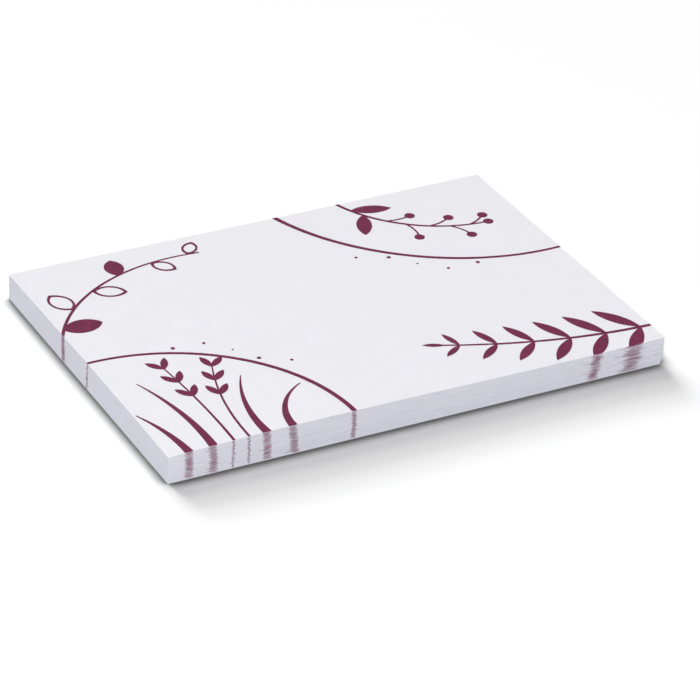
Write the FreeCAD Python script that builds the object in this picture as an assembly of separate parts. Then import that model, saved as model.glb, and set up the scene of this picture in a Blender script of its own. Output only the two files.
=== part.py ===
import FreeCAD, Part
import os
from FreeCAD import Vector

# A pad of sticky notes, size A7, lying flat.
# The origin is at the middle of its underside. X runs along the long edges,
# Y across the pad towards the edge that carries the adhesive, and Z up.
# Sizes are in millimetres and angles in degrees.

# Sheets
sheet_length = 105.0
sheet_width = 74.0
sheet_count = 50
sheet_thickness = 0.104
backing_thickness = 0.15

# Air in the loose stack, as extra height at the 16 control points of its top.
# The rows run from the front edge to the far one, and each from left to right.
air_heights = [
    [0.20, 1.70, -0.25, 0.55],
    [0.60, 1.20, 0.20, 0.40],
    [0.45, 0.50, 0.15, 0.25],
    [0.00, 0.00, 0.00, 0.15],
]

# Trimmed edges
seam_height = 0.04
seam_depth = 0.12
undercut_depth = 0.5
undercut_sheets = 15

# Print
ink_film = 0.06
bleed = 2.0
outline_width = 0.45

# The paths of the figures are arcs through three places. A place is given in
# shares of the half length and the half width from the middle of the sheet, so
# that 1 is the trimmed edge, and off is just past it.
off = 1.03

# Fern at the front right corner, whose lowest leaflets run off the front edge
fern_path = [(off, -0.86), (0.68, -0.80), (0.22, -0.60)]
fern_stem_width = 0.8
fern_leaf_pairs = 6
fern_leaf_length = 11.0
fern_leaf_width = 2.8
fern_leaf_angle = 54.0
fern_taper = 0.6

# Twig with round leaves at the far left corner, some solid and some outlined
twig_path = [(-off, 0.19), (-0.77, 0.65), (-0.28, 0.81)]
twig_width = 0.7
round_leaf_count = 6
round_leaf_length = 8.4
round_leaf_width = 5.2
round_leaf_angle = 60.0
round_leaf_taper = 0.4

# Grass at the front left corner: four blades and two ears of grain
blade_paths = [
    [(-0.92, -off), (-0.94, -0.80), (-0.99, -0.59)],
    [(-0.83, -off), (-0.84, -0.66), (-0.90, -0.32)],
    [(-0.62, -off), (-0.61, -0.73), (-0.54, -0.46)],
    [(-0.52, -off), (-0.49, -0.82), (-0.37, -0.65)],
]
ear_paths = [
    [(-0.75, -off), (-0.75, -0.61), (-0.77, -0.22)],
    [(-0.69, -off), (-0.67, -0.65), (-0.60, -0.30)],
]
blade_width = 1.8
blade_tip_width = 0.2
stalk_width = 0.55
ear_start = 0.60
ear_end = 0.97
grain_pairs = 3
grain_length = 4.2
grain_width = 1.5
grain_angle = 30.0

# Berries at the far right corner. A stalk has its share of the stem's length,
# its angle from the stem and its length.
berry_path = [(0.37, off), (0.54, 0.65), (0.85, 0.49)]
berry_stalks = [(0.38, 48, 5.5), (0.50, -52, 6.0), (0.64, 45, 5.5),
                (0.76, -46, 5.5), (0.88, 40, 5.0)]
berry_stem_width = 0.7
berry_stalk_width = 0.4
berry_stalk_bend = 0.8
berry_diameter = 2.2
berry_sides = 11
berry_leaf_places = [(0.14, 50), (0.23, -55)]
berry_leaf_length = 8.5
berry_leaf_width = 3.2

# Arcs across two corners, with dots along their outer side
arc_paths = [
    [(-off, -0.03), (-0.50, -0.30), (-0.28, -off)],
    [(off, 0.08), (0.41, 0.35), (0.10, off)],
]
arc_width = 1.0
arc_thin_end = 0.6
dot_diameters = [0.9, 0.68, 0.45]
dot_sides = 8
dot_count = 5
dot_gap = 1.8
dot_scatter = 1.2
dots_start = 0.3
dots_end = 0.65

half_length = sheet_length / 2
half_width = sheet_width / 2
stack_height = sheet_count * sheet_thickness
above_all = backing_thickness + stack_height + max(map(max, air_heights))


def sheet_surface(level):
    """The top of the lowest sheets, where level 1 is the whole stack.

    It reaches past the trimmed edges by the bleed.
    """
    surface = Part.BezierSurface()
    rows = len(air_heights)
    surface.increase(rows - 1, rows - 1)
    for row, heights in enumerate(air_heights):
        y = (2 * row / (rows - 1) - 1) * (half_width + bleed)
        for column, air in enumerate(heights):
            x = (2 * column / (rows - 1) - 1) * (half_length + bleed)
            z = backing_thickness + level * (stack_height + air)
            surface.setPole(column + 1, row + 1, Vector(x, y, z))
    return surface


def ring(level, inset, lift=0):
    """The outline of a sheet in the stack, with its sides moved inwards.

    The knife ran inwards at the right end, so the lowest sheets are shorter.
    """
    surface = sheet_surface(level)
    surface.translate(Vector(0, 0, lift))
    short = undercut_depth * max(0, 1 - level * sheet_count / undercut_sheets)
    length = sheet_length + 2 * bleed
    width = sheet_width + 2 * bleed
    u_ends = (bleed + inset) / length, 1 - (bleed + inset + short) / length
    v_ends = (bleed + inset) / width, 1 - (bleed + inset) / width
    sides = [surface.vIso(v_ends[0]), surface.uIso(u_ends[1]),
             surface.vIso(v_ends[1]), surface.uIso(u_ends[0])]
    edges = []
    for side, ends in zip(sides, (u_ends, v_ends, u_ends, v_ends)):
        edges.append(side.toShape(*ends))
    return Part.Wire(edges)


def stack_between(rings, inset):
    """A solid through the rings, up to a flat outline above the stack."""
    x = half_length - inset
    y = half_width - inset
    corners = [Vector(-x, -y, above_all), Vector(x, -y, above_all),
               Vector(x, y, above_all), Vector(-x, y, above_all)]
    lid = Part.makePolygon(corners + corners[:1])
    return Part.makeLoft(rings + [lid], True, True)


def envelope(inset):
    """The trimmed stack without its seams."""
    return stack_between([ring(0, inset), ring(undercut_sheets / sheet_count, inset)],
                         inset)


def under_top():
    """Everything below the top sheet."""
    return sheet_surface(1).toShape().extrude(Vector(0, 0, -above_all))


def make_note_sheets():
    """All the sheets as one solid, with the seam round every sheet."""
    rings = [ring(0, 0)]
    for sheet in range(1, sheet_count):
        level = sheet / sheet_count
        rings.append(ring(level, 0, -seam_height / 2))
        rings.append(ring(level, seam_depth))
        rings.append(ring(level, 0, seam_height / 2))
    return stack_between(rings, 0).common(under_top())


def make_backing_sheet():
    """The release sheet under the last note, trimmed with the stack."""
    length = sheet_length - undercut_depth
    corner = Vector(-half_length, -half_width, 0)
    return Part.makeBox(length, sheet_width, backing_thickness, corner)


def arc_through(places):
    """An arc through three places of the sheet."""
    return Part.Arc(*[Vector(x * half_length, y * half_width, 0) for x, y in places])


def place_on(path, share):
    """The point at a share of an arc's length, and the direction there."""
    turn = path.FirstParameter + share * (path.LastParameter - path.FirstParameter)
    return path.value(turn), path.tangent(turn)[0]


def turned(direction, angle):
    """A flat direction turned about Z."""
    return FreeCAD.Rotation(Vector(0, 0, 1), angle).multVec(direction)


def flat_face(curves):
    """A flat face inside curves that meet end to end."""
    return Part.Face(Part.Wire([curve.toShape() for curve in curves]))


def leaf(base, along, length, width):
    """A pointed leaf between two arcs."""
    middle = base + along * (length / 2)
    out = turned(along, 90) * (width / 2)
    tip = base + along * length
    return flat_face([Part.Arc(base, middle + out, tip),
                      Part.Arc(tip, middle - out, base)])


def outlined_leaf(base, along, length, width):
    """A pointed leaf drawn as a line."""
    shorter = outline_width * length / width
    inside = leaf(base + along * shorter, along, length - 2 * shorter,
                  width - 2 * outline_width)
    return leaf(base, along, length, width).cut(inside)


def stroke(path, root_width, tip_width):
    """A line along an arc that tapers from its root to its tip."""
    one_side = []
    other_side = []
    for share in (0, 0.5, 1):
        point, along = place_on(path, share)
        width = root_width + (tip_width - root_width) * share
        out = turned(along, 90) * (width / 2)
        one_side.append(point + out)
        other_side.append(point - out)
    return flat_face([Part.Arc(*one_side),
                      Part.LineSegment(one_side[2], other_side[2]),
                      Part.Arc(*reversed(other_side)),
                      Part.LineSegment(other_side[0], one_side[0])])


def dot(centre, diameter, sides):
    """A dot, so small that straight sides make it look round."""
    rim = [centre + turned(Vector(diameter / 2, 0, 0), 360 * corner / sides)
           for corner in range(sides)]
    return Part.Face(Part.makePolygon(rim + rim[:1]))


def fern():
    """A bent stem with pairs of leaflets that get smaller."""
    path = arc_through(fern_path)
    shapes = [stroke(path, fern_stem_width, fern_stem_width / 2)]
    for pair in range(fern_leaf_pairs):
        share = (pair + 0.5) / fern_leaf_pairs
        point, along = place_on(path, share)
        size = 1 - fern_taper * share ** 1.5
        for angle in (fern_leaf_angle, -fern_leaf_angle):
            shapes.append(leaf(point, turned(along, angle), fern_leaf_length * size,
                               fern_leaf_width * size))
    point, along = place_on(path, 1)
    size = 1 - fern_taper
    shapes.append(leaf(point - along * fern_stem_width, along, fern_leaf_length * size,
                       fern_leaf_width * size))
    return shapes


def round_leaf_twig():
    """A twig with broad leaves on both sides, solid ones and outlined ones."""
    path = arc_through(twig_path)
    shapes = [stroke(path, twig_width, twig_width / 2)]
    for number in range(round_leaf_count):
        share = (number + 0.7) / round_leaf_count
        point, along = place_on(path, share)
        size = 1 - round_leaf_taper * share
        angle = round_leaf_angle if number % 2 else -round_leaf_angle
        draw = leaf if number % 3 == 0 else outlined_leaf
        shapes.append(draw(point, turned(along, angle), round_leaf_length * size,
                           round_leaf_width * size))
    return shapes


def grass():
    """Blades and ears of grain that rise from the front edge."""
    shapes = []
    for places in blade_paths:
        shapes.append(stroke(arc_through(places), blade_width, blade_tip_width))
    for places in ear_paths:
        path = arc_through(places)
        shapes.append(stroke(path, stalk_width, stalk_width / 2))
        for pair in range(grain_pairs):
            share = ear_start + (ear_end - ear_start) * pair / (grain_pairs - 1)
            point, along = place_on(path, share)
            for angle in (grain_angle, -grain_angle):
                shapes.append(leaf(point, turned(along, angle), grain_length,
                                   grain_width))
    return shapes


def berries():
    """A hanging stem with two leaves, and berries on short stalks."""
    path = arc_through(berry_path)
    shapes = [stroke(path, berry_stem_width, berry_stalk_width)]
    for share, angle, length in berry_stalks:
        point, along = place_on(path, share)
        bend = point + turned(along, angle * berry_stalk_bend) * (length / 2)
        end = point + turned(along, angle) * length
        stalk = Part.Arc(point, bend, end)
        shapes.append(stroke(stalk, berry_stalk_width, berry_stalk_width))
        shapes.append(dot(end, berry_diameter, berry_sides))
    shapes.append(dot(place_on(path, 1)[0], berry_diameter, berry_sides))
    for share, angle in berry_leaf_places:
        point, along = place_on(path, share)
        shapes.append(leaf(point, turned(along, angle), berry_leaf_length,
                           berry_leaf_width))
    return shapes


def corner_arcs():
    """A long arc across each of two corners, with scattered dots beside it."""
    shapes = []
    for places in arc_paths:
        path = arc_through(places)
        shapes.append(stroke(path, arc_thin_end, arc_width))
        for number in range(dot_count):
            share = dots_start + (dots_end - dots_start) * number / (dot_count - 1)
            point, along = place_on(path, share)
            away = dot_gap + dot_scatter * (number * 2 % 3)
            shapes.append(dot(point + turned(along, 90) * away,
                              dot_diameters[number % len(dot_diameters)], dot_sides))
    return shapes


def make_print():
    """The ink on the top sheet, and on the trimmed sides of the stack.

    Every sheet has the same print, so where it runs off the sheet it also
    shows down the side.
    """
    outside = Part.makeBox(sheet_length, sheet_width, above_all * 2,
                           Vector(-half_length, -half_width, 0))
    film = sheet_surface(1).toShape().extrude(Vector(0, 0, ink_film)).common(outside)
    wall = envelope(-ink_film).cut(envelope(0)).common(under_top())
    figures = {
        "fern_print": fern(),
        "round_leaf_print": round_leaf_twig(),
        "grass_print": grass(),
        "berry_print": berries(),
        "arc_print": corner_arcs(),
    }
    nodes = {}
    marks = []
    for name, shapes in figures.items():
        columns = [shape.extrude(Vector(0, 0, above_all * 2)) for shape in shapes]
        column = columns[0].multiFuse(columns[1:])
        nodes[name] = film.common(column)
        marks.extend(wall.common(column).Solids)
    nodes["edge_marks"] = Part.makeCompound(marks)
    return nodes


def main():
    os.makedirs("parts", exist_ok=True)
    nodes = {
        "note_sheets": make_note_sheets(),
        "backing_sheet": make_backing_sheet(),
    }
    nodes.update(make_print())
    for name, shape in nodes.items():
        shape.exportStep("parts/" + name + ".step")
        print(name, len(shape.Solids), "solids", round(shape.Volume, 3), "mm3")


main()
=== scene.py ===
import math

import bpy
import numpy as np
from mathutils import Matrix, Vector


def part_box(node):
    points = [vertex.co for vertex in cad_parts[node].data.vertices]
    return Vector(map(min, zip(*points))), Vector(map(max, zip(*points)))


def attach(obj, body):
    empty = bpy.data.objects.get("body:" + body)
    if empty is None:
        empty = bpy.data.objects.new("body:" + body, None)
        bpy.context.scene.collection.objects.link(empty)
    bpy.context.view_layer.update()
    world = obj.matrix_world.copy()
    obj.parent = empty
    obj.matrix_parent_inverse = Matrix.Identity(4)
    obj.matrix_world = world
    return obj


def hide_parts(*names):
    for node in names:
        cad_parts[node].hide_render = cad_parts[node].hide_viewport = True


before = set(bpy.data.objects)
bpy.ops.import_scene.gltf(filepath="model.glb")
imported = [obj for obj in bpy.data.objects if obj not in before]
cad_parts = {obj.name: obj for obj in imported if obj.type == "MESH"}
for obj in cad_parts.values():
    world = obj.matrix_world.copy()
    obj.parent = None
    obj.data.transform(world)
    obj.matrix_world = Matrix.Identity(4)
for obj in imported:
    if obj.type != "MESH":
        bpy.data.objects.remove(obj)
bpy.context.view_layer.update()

MM = 0.001

# The stack of notes, as the model has it
SHEET_COUNT = 50
SHEET_PITCH = 0.104 * MM
BLEED = 2.0 * MM
UNDERCUT = 0.5 * MM
UNDERCUT_SHEETS = 15
AIR_HEIGHTS = np.array([
    [0.20, 1.70, -0.25, 0.55],
    [0.60, 1.20, 0.20, 0.40],
    [0.45, 0.50, 0.15, 0.25],
    [0.00, 0.00, 0.00, 0.15],
]) * MM

# The fine form of the trimmed edges
CELL = 1.0 * MM               # spacing of the mesh along the edges and on the top
TIGHT_GAP = 0.016 * MM        # what shows between two sheets that lie tight
SEAM_DEPTH = 0.16 * MM
OPEN_SEAM_DEPTH = 2.5 * MM    # where the corner fans open
OPEN_GAP = 0.03 * MM          # how much wider a gap is when it counts as open
OPEN_GAPS = 11                # how many of the gaps open there
FAN_LENGTH = 26 * MM          # how far the fanned corner reaches along the front
FAN_WIDTH = 30 * MM           # and how far along the right end
FAN_SCATTER = 0.07 * MM
EDGE_SCATTER = 0.02 * MM      # how far single sheets lie behind the cut
EDGE_WAVES = 0.006 * MM

# The strokes of ink on the edges
SIDE_INK = 0.012 * MM         # how far the ink stands proud of a sheet's edge
INK_ROOT = 0.02 * MM          # how far it reaches into the sheet
CORNER_MARGIN = 0.02 * MM     # how near a stroke comes to the end of a side
SHORTEST_STROKE = 0.08 * MM
STROKE_COVER = (0.35, 0.95)   # how much of a sheet's thickness a stroke covers
POINTED_END = 0.35            # how much of that is left at its ends
PRINT_DRIFT = 0.25 * MM       # how far a mark has drifted by the lowest sheet
PRINT_SHIFT = 0.16 * MM       # how far the print wanders from sheet to sheet
RAGGED = 0.06 * MM            # how unevenly the narrowest strokes end
WIDE_RAGGED = 0.1             # what is added for wider ones, as a share of the width
TAILS = 0.3                   # how many of the strokes run on into a tail
TAIL = 0.22                   # the mean tail as a share of the width
SWEEP = 1.0 * MM              # how far left the lowest print lies at the right end
# What share of the shift, the raggedness and the tails is left where the sheets lie
# tight
TIGHT_SHIFT = 0.5
TIGHT_RAGGED = 0.3
TIGHT_TAILS = 0.2

# The camera, fitted to the corners of the pad in the photograph
PHOTO_WIDTH = 700
FOCAL_PIXELS = 3508.27
CAMERA_PLACE = (-0.28014, -0.52022, 0.34245)
CAMERA_RIGHT = (0.88693848, -0.46049849, 0.0357948)
CAMERA_UP = (0.20593182, 0.46361886, 0.86177122)

sheets_low, sheets_high = (Vector(corner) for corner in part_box("note_sheets"))
HALF_LENGTH = sheets_high.x
HALF_WIDTH = sheets_high.y
STACK_FOOT = sheets_low.z
STACK_HEIGHT = SHEET_COUNT * SHEET_PITCH


def bernstein(share):
    """The weights of four control points at shares of a side."""
    rest = 1 - share
    return np.stack([rest ** 3, 3 * share * rest ** 2, 3 * share ** 2 * rest,
                     share ** 3])


def air(x, y):
    """The extra height of the whole loose stack at points of the sheet."""
    along = bernstein((np.asarray(x) / (HALF_LENGTH + BLEED) + 1) / 2)
    across = bernstein((np.asarray(y) / (HALF_WIDTH + BLEED) + 1) / 2)
    return np.einsum("i...,j...,ij->...", across, along, AIR_HEIGHTS)


def smooth(value):
    """A smooth step from 0 to 1."""
    value = np.clip(value, 0, 1)
    return value * value * (3 - 2 * value)


def new_object(name, vertices, faces, material_of_face=None, materials=()):
    """A mesh object from lists of vertices and faces."""
    mesh = bpy.data.meshes.new(name)
    mesh.from_pydata([tuple(vertex) for vertex in vertices], [], faces)
    for material in materials:
        mesh.materials.append(material)
    if material_of_face is not None:
        mesh.polygons.foreach_set("material_index", material_of_face)
    mesh.validate()
    mesh.update()
    piece = bpy.data.objects.new(name, mesh)
    bpy.context.scene.collection.objects.link(piece)
    return piece


# Materials

def new_material(name):
    """An empty node material with its surface shader."""
    material = bpy.data.materials.new(name)
    material.use_nodes = True
    nodes = material.node_tree.nodes
    links = material.node_tree.links
    nodes.clear()
    output = nodes.new("ShaderNodeOutputMaterial")
    shader = nodes.new("ShaderNodeBsdfPrincipled")
    links.new(shader.outputs["BSDF"], output.inputs["Surface"])
    return material, nodes, links, shader


def place_texture(nodes, links, scale):
    """Object coordinates, stretched by a scale for each axis."""
    coordinates = nodes.new("ShaderNodeTexCoord")
    mapping = nodes.new("ShaderNodeMapping")
    mapping.inputs["Scale"].default_value = scale
    links.new(coordinates.outputs["Object"], mapping.inputs["Vector"])
    return mapping.outputs["Vector"]


def noise(nodes, links, place, scale, detail=2.0, roughness=0.5):
    """A noise texture's value."""
    texture = nodes.new("ShaderNodeTexNoise")
    texture.inputs["Scale"].default_value = scale
    texture.inputs["Detail"].default_value = detail
    texture.inputs["Roughness"].default_value = roughness
    links.new(place, texture.inputs["Vector"])
    return texture.outputs["Fac"]


def ramp(nodes, links, value, stops):
    """A colour ramp over a value, from (place, colour) stops."""
    node = nodes.new("ShaderNodeValToRGB")
    elements = node.color_ramp.elements
    while len(elements) < len(stops):
        elements.new(0.5)
    for element, (place, colour) in zip(elements, stops):
        element.position = place
        element.color = (*colour, 1)
    links.new(value, node.inputs["Fac"])
    return node.outputs["Color"]


def mix_colour(nodes, links, factor, one, other, kind="MIX"):
    """Two colours mixed by a factor, which may be a number or a value."""
    node = nodes.new("ShaderNodeMix")
    node.data_type = "RGBA"
    node.blend_type = kind
    if isinstance(factor, float):
        node.inputs[0].default_value = factor
    else:
        links.new(factor, node.inputs[0])
    links.new(one, node.inputs[6])
    links.new(other, node.inputs[7])
    return node.outputs[2]


def bump(nodes, links, shader, height, distance, strength):
    """A bump from a height value, in metres."""
    node = nodes.new("ShaderNodeBump")
    node.inputs["Distance"].default_value = distance
    node.inputs["Strength"].default_value = strength
    links.new(height, node.inputs["Height"])
    links.new(node.outputs["Normal"], shader.inputs["Normal"])


def shaded(colour, factor):
    """A colour made lighter or darker."""
    return tuple(min(1.0, channel * factor) for channel in colour)


def linear(red, green, blue):
    """A colour from 8-bit sRGB values."""
    channels = []
    for value in (red, green, blue):
        value /= 255
        channels.append(value / 12.92 if value <= 0.04045
                        else ((value + 0.055) / 1.055) ** 2.4)
    return tuple(channels)


def paper_material(name, colour, spread):
    """Uncoated paper: cloudy formation, fine fibres and a faint tooth."""
    material, nodes, links, shader = new_material(name)
    place = place_texture(nodes, links, (1, 1, 1))
    clouds = noise(nodes, links, place, 160, 4, 0.6)
    cloud_colour = ramp(nodes, links, clouds, [
        (0.3, shaded(colour, 1 - spread)), (0.7, shaded(colour, 1 + spread))])
    fibres = noise(nodes, links, place_texture(nodes, links, (1, 2.6, 1)), 4200, 3, 0.7)
    fibre_colour = ramp(nodes, links, fibres, [
        (0.35, (0.965, 0.965, 0.97)), (0.62, (1, 1, 1))])
    links.new(mix_colour(nodes, links, 1.0, cloud_colour, fibre_colour, "MULTIPLY"),
              shader.inputs["Base Color"])
    shader.inputs["Roughness"].default_value = 0.88
    shader.inputs["Specular IOR Level"].default_value = 0.25
    bump(nodes, links, shader, fibres, 0.004 * MM, 0.6)
    return material


def edge_material(name, colour):
    """Cut paper edges: a streak for each sheet, broken up by fibres."""
    material, nodes, links, shader = new_material(name)
    streaks = noise(nodes, links, place_texture(nodes, links, (0.05, 0.05, 1)),
                    9000, 2, 0.6)
    streak_colour = ramp(nodes, links, streaks, [
        (0.3, shaded(colour, 0.93)), (0.5, colour), (0.72, shaded(colour, 1.05))])
    fibres = noise(nodes, links, place_texture(nodes, links, (1, 1, 1.5)), 5200, 3, 0.7)
    fibre_colour = ramp(nodes, links, fibres, [
        (0.3, (0.94, 0.94, 0.95)), (0.6, (1, 1, 1))])
    links.new(mix_colour(nodes, links, 1.0, streak_colour, fibre_colour, "MULTIPLY"),
              shader.inputs["Base Color"])
    shader.inputs["Roughness"].default_value = 0.95
    shader.inputs["Specular IOR Level"].default_value = 0.15
    bump(nodes, links, shader, fibres, 0.01 * MM, 0.8)
    return material


def ink_material(name, colour, paper, cover, most):
    """Ink soaked into paper: uneven cover with paler fibres showing through."""
    material, nodes, links, shader = new_material(name)
    place = place_texture(nodes, links, (1, 1, 1))
    clouds = noise(nodes, links, place, 420, 3, 0.6)
    body = ramp(nodes, links, clouds, [
        (0.3, shaded(colour, 0.86)), (0.7, shaded(colour, 1.16))])
    fibres = noise(nodes, links, place, 5200, 3, 0.75)
    pale = ramp(nodes, links, clouds, [(0.2, paper), (0.8, shaded(paper, 0.9))])
    show = nodes.new("ShaderNodeMapRange")
    show.inputs["From Min"].default_value = cover
    show.inputs["From Max"].default_value = cover + 0.22
    show.inputs["To Max"].default_value = most
    links.new(fibres, show.inputs["Value"])
    links.new(mix_colour(nodes, links, show.outputs["Result"], body, pale),
              shader.inputs["Base Color"])
    shader.inputs["Roughness"].default_value = 0.85
    shader.inputs["Specular IOR Level"].default_value = 0.12
    bump(nodes, links, shader, fibres, 0.004 * MM, 0.5)
    return material


PAPER = linear(233, 232, 237)
# The edges are the same paper as the top, made darker and bluer: painted shade on the
# stack's sides and a painted bluish cast of the light falling on them
EDGE_SHADED = linear(223, 223, 232)
BURGUNDY = linear(108, 40, 68)

note_top = paper_material("note_top_paper", PAPER, 0.012)
note_edge_shaded = edge_material("note_edge_paper_shaded", EDGE_SHADED)
# The backing sheet gets the sides' darker, bluer tone: painted shade on its edge, the
# only part of it that shows
release_shaded = paper_material("release_paper", linear(209, 208, 216), 0.015)
top_ink = ink_material("burgundy_ink", BURGUNDY, shaded(PAPER, 0.8), 0.6, 0.25)
# The paper showing through the ink on the edges starts from the edge colour, so it
# carries the same painted shade
side_ink = ink_material("edge_ink", linear(122, 56, 92), shaded(EDGE_SHADED, 0.85), 0.52, 0.45)


# The stack of notes

rng = np.random.default_rng(7)
columns = round(2 * HALF_LENGTH / CELL)
rows = round(2 * HALF_WIDTH / CELL)


def border_cells():
    """The grid points round the sheet's edge, counter-clockwise from above."""
    border = [(column, 0) for column in range(columns)]
    border += [(columns, row) for row in range(rows)]
    border += [(column, rows) for column in range(columns, 0, -1)]
    border += [(0, row) for row in range(rows, 0, -1)]
    return border


BORDER = border_cells()
border_x = np.array([2 * HALF_LENGTH * column / columns - HALF_LENGTH
                     for column, row in BORDER])
border_y = np.array([2 * HALF_WIDTH * row / rows - HALF_WIDTH for column, row in BORDER])
on_left = np.array([column == 0 for column, row in BORDER])
on_right = np.array([column == columns for column, row in BORDER])
on_front = np.array([row == 0 for column, row in BORDER])
on_far = np.array([row == rows for column, row in BORDER])
inward_x = on_left.astype(float) - on_right.astype(float)
inward_y = on_front.astype(float) - on_far.astype(float)
border_air = air(border_x, border_y)
# How much the fanned front right corner takes part, from 0 to 1
fanned = (smooth((border_x - HALF_LENGTH + FAN_LENGTH) / FAN_LENGTH)
          * smooth((FAN_WIDTH - HALF_WIDTH - border_y) / FAN_WIDTH))


def shares_of_air():
    """How the air is spread over the sheets, tight and in the fanned corner."""
    tight = rng.lognormal(0, 0.6, SHEET_COUNT)
    open_gaps = rng.lognormal(0, 0.5, SHEET_COUNT) * 0.1
    for number in range(OPEN_GAPS):
        sheet = int((number + rng.uniform(0.3, 1)) * (SHEET_COUNT - 1) / OPEN_GAPS)
        open_gaps[sheet] += rng.uniform(4, 9)
    return np.cumsum(tight) / tight.sum(), np.cumsum(open_gaps) / open_gaps.sum()


def edge_waves():
    """A slow wave of one sheet's edge, the same whatever the mesh's spacing."""
    turn = np.linspace(0, 2 * math.pi, len(BORDER), endpoint=False)
    wave = np.zeros(len(BORDER))
    for number in (2, 5, 9, 17):
        wave += rng.normal() * np.sin(number * turn + rng.uniform(0, 6.3)) / 2
    return wave * EDGE_WAVES


tight_shares, open_shares = shares_of_air()
sheet_tops = []
sheet_feet = []
sheet_insets = []
sheet_shorts = []
below = np.full(len(BORDER), STACK_FOOT)
for sheet in range(SHEET_COUNT):
    share = tight_shares[sheet] * (1 - fanned) + open_shares[sheet] * fanned
    top = STACK_FOOT + (sheet + 1) * SHEET_PITCH + border_air * share
    foot = top - SHEET_PITCH + TIGHT_GAP
    short = UNDERCUT * max(0, 1 - (sheet + 0.5) / UNDERCUT_SHEETS)
    inset = np.abs(rng.normal()) * EDGE_SCATTER * 0.5 + np.abs(edge_waves())
    inset = np.minimum(inset, 2 * EDGE_SCATTER)
    inset = inset + fanned * np.abs(rng.normal()) * FAN_SCATTER
    if sheet == SHEET_COUNT - 1:
        inset = inset * 0
    sheet_tops.append(top)
    sheet_feet.append(foot)
    sheet_insets.append(inset)
    sheet_shorts.append(short)


def loop_at(height, inset, short):
    """A loop of vertices round the stack, with a shorter right end."""
    return np.stack([border_x + inward_x * inset - on_right * short,
                     border_y + inward_y * inset, height], axis=1)


def make_stack():
    """All the notes as one closed mesh, with a seam under every sheet."""
    loops = []
    for sheet in range(SHEET_COUNT):
        foot = sheet_feet[sheet] if sheet else np.full(len(BORDER), STACK_FOOT)
        short = sheet_shorts[sheet]
        if sheet:
            gap = sheet_feet[sheet] - sheet_tops[sheet - 1]
            opened = smooth((gap - TIGHT_GAP * 1.2) / OPEN_GAP)
            depth = SEAM_DEPTH + (OPEN_SEAM_DEPTH - SEAM_DEPTH) * opened
            depth = depth + np.maximum(sheet_insets[sheet], sheet_insets[sheet - 1])
            middle = (sheet_feet[sheet] + sheet_tops[sheet - 1]) / 2
            loops.append(loop_at(middle, depth, short))
        loops.append(loop_at(foot, sheet_insets[sheet], short))
        loops.append(loop_at(sheet_tops[sheet], sheet_insets[sheet], short))
    count = len(BORDER)
    vertices = np.concatenate(loops)
    faces = []
    kinds = []
    for lower in range(len(loops) - 1):
        # Side faces below the top sheet and the underside take the edge paper with its
        # painted shade; the top sheet's own edge keeps the top paper
        kind = 1 if lower < len(loops) - 2 else 0
        for point in range(count):
            after = (point + 1) % count
            faces.append((lower * count + point, lower * count + after,
                          (lower + 1) * count + after, (lower + 1) * count + point))
            kinds.append(kind)
    faces.append(tuple(reversed(range(count))))
    kinds.append(1)
    grid = {}
    last = (len(loops) - 1) * count
    for number, cell in enumerate(BORDER):
        grid[cell] = last + number
    inner = []
    for row in range(1, rows):
        for column in range(1, columns):
            grid[(column, row)] = len(vertices) + len(inner)
            inner.append((2 * HALF_LENGTH * column / columns - HALF_LENGTH,
                          2 * HALF_WIDTH * row / rows - HALF_WIDTH))
    inner = np.array(inner)
    heights = STACK_FOOT + STACK_HEIGHT + air(inner[:, 0], inner[:, 1])
    vertices = np.concatenate([vertices, np.column_stack([inner, heights])])
    for row in range(rows):
        for column in range(columns):
            faces.append((grid[(column, row)], grid[(column + 1, row)],
                          grid[(column + 1, row + 1)], grid[(column, row + 1)]))
            kinds.append(0)
    return new_object("note_stack", vertices, faces, kinds, (note_top, note_edge_shaded))


stack = make_stack()
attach(stack, "root")
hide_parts("note_sheets")


# The ink on the edges

def mark_spans():
    """Where the marks of the model lie: side, low end and high end."""
    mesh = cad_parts["edge_marks"].data
    neighbours = {}
    for edge in mesh.edges:
        one, other = edge.vertices
        neighbours.setdefault(one, []).append(other)
        neighbours.setdefault(other, []).append(one)
    places = {}
    owner = {}
    for vertex in mesh.vertices:
        key = tuple(round(value, 8) for value in vertex.co)
        places.setdefault(key, []).append(vertex.index)
    group = 0
    for start in neighbours:
        if start in owner:
            continue
        waiting = [start]
        while waiting:
            vertex = waiting.pop()
            if vertex in owner:
                continue
            owner[vertex] = group
            waiting.extend(neighbours[vertex])
            key = tuple(round(value, 8) for value in mesh.vertices[vertex].co)
            waiting.extend(places[key])
        group += 1
    spans = []
    for number in range(group):
        points = np.array([mesh.vertices[vertex].co for vertex in owner
                           if owner[vertex] == number])
        low = points.min(axis=0)
        high = points.max(axis=0)
        if high[1] - low[1] < high[0] - low[0]:
            side = "front" if low[1] < 0 else "far"
            spans.append((side, low[0], high[0]))
        else:
            side = "left" if low[0] < 0 else "right"
            spans.append((side, low[1], high[1]))
    return sorted(spans)


def side_point(side, along, sheet, out):
    """A point on the edge of one sheet, and the heights of its foot and top."""
    if side in ("front", "far"):
        chosen = on_front if side == "front" else on_far
        places = border_x[chosen]
    else:
        chosen = on_left if side == "left" else on_right
        places = border_y[chosen]
    order = np.argsort(places)
    values = [np.interp(along, places[order], data[chosen][order])
              for data in (sheet_insets[sheet], sheet_feet[sheet], sheet_tops[sheet])]
    inset, foot, top = values
    if side == "front":
        return (along, inset - HALF_WIDTH - out), foot, top
    if side == "far":
        return (along, HALF_WIDTH - inset + out), foot, top
    if side == "left":
        return (inset - HALF_LENGTH - out, along), foot, top
    return (HALF_LENGTH - sheet_shorts[sheet] - inset + out, along), foot, top


def loosened(tight, loose):
    """A share that grows to 1 as the sheets get loose."""
    return tight + (1 - tight) * loose


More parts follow.
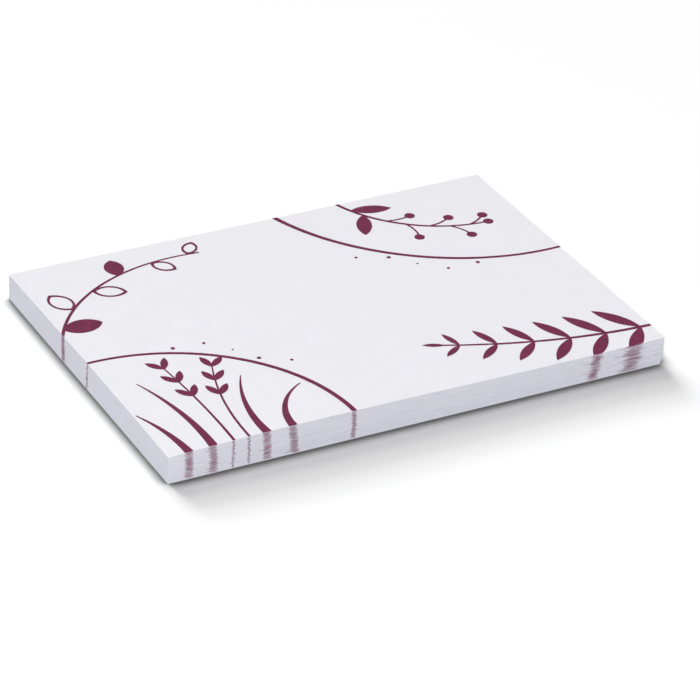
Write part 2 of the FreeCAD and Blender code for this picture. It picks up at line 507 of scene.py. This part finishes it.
def make_edge_ink():
    """A stroke of ink on each sheet's edge where the print runs off it."""
    vertices = []
    faces = []
    spans = mark_spans()
    drift = [rng.normal(0, PRINT_DRIFT) for span in spans]
    for sheet in range(SHEET_COUNT):
        depth = 1 - (sheet + 1) / SHEET_COUNT
        shift = {"x": rng.normal(0, PRINT_SHIFT), "y": rng.normal(0, PRINT_SHIFT)}
        for number, (side, low, high) in enumerate(spans):
            axis = "x" if side in ("front", "far") else "y"
            limit = HALF_LENGTH if axis == "x" else HALF_WIDTH
            loose = smooth(low / HALF_LENGTH) if axis == "x" else 0
            lean = (drift[number] - SWEEP * loose) * depth
            lean += shift[axis] * loosened(TIGHT_SHIFT, loose)
            width = high - low
            ragged = RAGGED + WIDE_RAGGED * width * loosened(TIGHT_RAGGED, loose)
            start = low + lean + rng.normal(0, ragged)
            end = high + lean + rng.normal(0, ragged)
            if rng.random() < TAILS * loosened(TIGHT_TAILS, loose):
                start -= rng.exponential(TAIL) * width
            start = max(start, CORNER_MARGIN - limit)
            end = min(end, limit - CORNER_MARGIN - UNDERCUT * (axis == "x"))
            if end - start < SHORTEST_STROKE:
                continue
            cover = rng.uniform(*STROKE_COVER)
            corners = []
            steps = max(4, math.ceil((end - start) / CELL) + 1)
            for step, along in enumerate(np.linspace(start, end, steps)):
                share = POINTED_END if step in (0, steps - 1) else 1
                for out in (-INK_ROOT, SIDE_INK):
                    place, foot, top = side_point(side, along, sheet, out)
                    low_z = top - (top - foot) * cover * share
                    corners.append((*place, low_z))
                    corners.append((*place, top))
            base = len(vertices)
            vertices.extend(corners)
            for step in range(steps - 1):
                near = base + 4 * step
                far = near + 4
                faces.append((near, near + 1, far + 1, far))
                faces.append((near + 2, far + 2, far + 3, near + 3))
                faces.append((near + 1, near + 3, far + 3, far + 1))
                faces.append((near, far, far + 2, near + 2))
            faces.append((base, base + 2, base + 3, base + 1))
            end_base = base + 4 * (steps - 1)
            faces.append((end_base, end_base + 1, end_base + 3, end_base + 2))
    return new_object("edge_ink_strokes", vertices, faces, None, (side_ink,))


edge_ink = make_edge_ink()
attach(edge_ink, "root")
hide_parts("edge_marks")


# The carried-over nodes

CARRIED = {
    "backing_sheet": release_shaded,
    "fern_print": top_ink,
    "round_leaf_print": top_ink,
    "grass_print": top_ink,
    "berry_print": top_ink,
    "arc_print": top_ink,
}
for node_name, node_material in CARRIED.items():
    node_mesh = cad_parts[node_name].data
    node_mesh.materials.clear()
    node_mesh.materials.append(node_material)


# Floor, light and camera

AMBIENT = (0.02, 0.02, 0.02)
FLOOR_GLOW = 0.03
FLOOR_WHITE = 0.92
# The shade where the pad stands: how open the floor is towards the light against its
# brightness
CONTACT_REACH = 3.5 * MM
CONTACT_TILT = 10             # degrees that the light leans towards the back
CONTACT_SHADE = ((0.5, 0.10), (0.57, 0.17), (0.6, 0.245), (0.64, 0.34), (0.7, 0.52),
                 (0.79, 0.745), (0.9, 0.91), (1, 1))
FLOOR_SIZE = 3.0
# Soft lamps: azimuth from the right and elevation in degrees, distance, width and
# height in metres, power in watts
LAMPS = {
    "overhead": (90, 80, 5.0, 2.6, 2.0, 35),
    "back_low": (90, 19.5, 5.0, 2.4, 0.70, 153),
    "back_middle": (90, 28.5, 5.0, 2.4, 0.85, 108),
    "back_high": (90, 45, 5.0, 2.4, 2.0, 99),
    "fill": (240, 33, 1.5, 0.5, 0.4, 17.3),
}


def make_floor():
    """A white floor that darkens where the pad stands on it."""
    half = FLOOR_SIZE / 2
    corners = [(-half, -half, 0), (half, -half, 0), (half, half, 0), (-half, half, 0)]
    material = bpy.data.materials.new("white_floor")
    material.use_nodes = True
    nodes = material.node_tree.nodes
    links = material.node_tree.links
    nodes.clear()
    output = nodes.new("ShaderNodeOutputMaterial")
    diffuse = nodes.new("ShaderNodeBsdfDiffuse")
    contact = nodes.new("ShaderNodeAmbientOcclusion")
    contact.inputs["Distance"].default_value = CONTACT_REACH
    contact.samples = 8
    towards_light = nodes.new("ShaderNodeCombineXYZ")
    towards_light.inputs["Y"].default_value = math.sin(math.radians(CONTACT_TILT))
    towards_light.inputs["Z"].default_value = math.cos(math.radians(CONTACT_TILT))
    links.new(towards_light.outputs[0], contact.inputs["Normal"])
    light_path = nodes.new("ShaderNodeLightPath")
    seen = light_path.outputs["Is Camera Ray"]
    shade = ramp(nodes, links, contact.outputs["AO"], [
        (openness, (FLOOR_WHITE * level,) * 3) for openness, level in CONTACT_SHADE])
    white = nodes.new("ShaderNodeRGB")
    white.outputs[0].default_value = (FLOOR_WHITE, FLOOR_WHITE, FLOOR_WHITE, 1)
    links.new(mix_colour(nodes, links, seen, white.outputs[0], shade),
              diffuse.inputs["Color"])
    glow = nodes.new("ShaderNodeEmission")
    glow.inputs["Color"].default_value = (1, 1, 1, 1)
    strength = nodes.new("ShaderNodeMath")
    strength.operation = "MULTIPLY"
    strength.inputs[1].default_value = FLOOR_GLOW
    links.new(seen, strength.inputs[0])
    links.new(strength.outputs[0], glow.inputs["Strength"])
    both = nodes.new("ShaderNodeAddShader")
    links.new(diffuse.outputs[0], both.inputs[0])
    links.new(glow.outputs[0], both.inputs[1])
    links.new(both.outputs[0], output.inputs["Surface"])
    floor = new_object("floor", corners, [(0, 1, 2, 3)], None, (material,))
    return floor


def make_world():
    """Weak even light from all round, and a white background."""
    world = bpy.data.worlds.new("studio")
    bpy.context.scene.world = world
    world.use_nodes = True
    nodes = world.node_tree.nodes
    links = world.node_tree.links
    nodes.clear()
    output = nodes.new("ShaderNodeOutputWorld")
    lighting = nodes.new("ShaderNodeBackground")
    lighting.inputs["Color"].default_value = (*AMBIENT, 1)
    white = nodes.new("ShaderNodeBackground")
    white.inputs["Color"].default_value = (1, 1, 1, 1)
    light_path = nodes.new("ShaderNodeLightPath")
    seen = light_path.outputs["Is Camera Ray"]
    for ray in ("Is Glossy Ray", "Is Transmission Ray"):
        either = nodes.new("ShaderNodeMath")
        either.operation = "MAXIMUM"
        links.new(seen, either.inputs[0])
        links.new(light_path.outputs[ray], either.inputs[1])
        seen = either.outputs[0]
    choice = nodes.new("ShaderNodeMixShader")
    links.new(seen, choice.inputs[0])
    links.new(lighting.outputs[0], choice.inputs[1])
    links.new(white.outputs[0], choice.inputs[2])
    links.new(choice.outputs[0], output.inputs["Surface"])


def make_lamp(name, azimuth, elevation, distance, width, height, power):
    """A rectangular soft lamp that faces the pad."""
    lamp = bpy.data.lights.new(name, "AREA")
    lamp.shape = "RECTANGLE"
    lamp.size = width
    lamp.size_y = height
    lamp.energy = power
    around = math.radians(azimuth)
    upward = math.radians(elevation)
    place = distance * Vector((math.cos(upward) * math.cos(around),
                               math.cos(upward) * math.sin(around), math.sin(upward)))
    holder = bpy.data.objects.new(name, lamp)
    holder.location = place
    holder.rotation_euler = (-place).to_track_quat("-Z", "Y").to_euler()
    bpy.context.scene.collection.objects.link(holder)
    return holder


def light_only(holder, pieces):
    """Lets a lamp light some of the pieces and no others."""
    lit = bpy.data.collections.new("lit_by_" + holder.name)
    for piece in pieces:
        lit.objects.link(piece)
    holder.light_linking.receiver_collection = lit


def make_camera():
    """The camera of the photograph."""
    data = bpy.data.cameras.new("camera")
    data.sensor_width = 36
    data.lens = FOCAL_PIXELS / PHOTO_WIDTH * data.sensor_width
    data.clip_end = 10
    camera = bpy.data.objects.new("camera", data)
    right = Vector(CAMERA_RIGHT).normalized()
    up = Vector(CAMERA_UP).normalized()
    back = right.cross(up)
    rotation = Matrix((right, up, back)).transposed()
    camera.matrix_world = Matrix.Translation(CAMERA_PLACE) @ rotation.to_4x4()
    bpy.context.scene.collection.objects.link(camera)
    bpy.context.scene.camera = camera


floor = make_floor()
make_world()
lamps = {name: make_lamp(name, *values) for name, values in LAMPS.items()}
# The low lamp draws the long shadow and would burn out the side that faces it
light_only(lamps["back_low"], [floor])
light_only(lamps["overhead"],
           [stack, edge_ink] + [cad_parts[name] for name in CARRIED])
make_camera()
bpy.context.scene.view_settings.view_transform = "Standard"
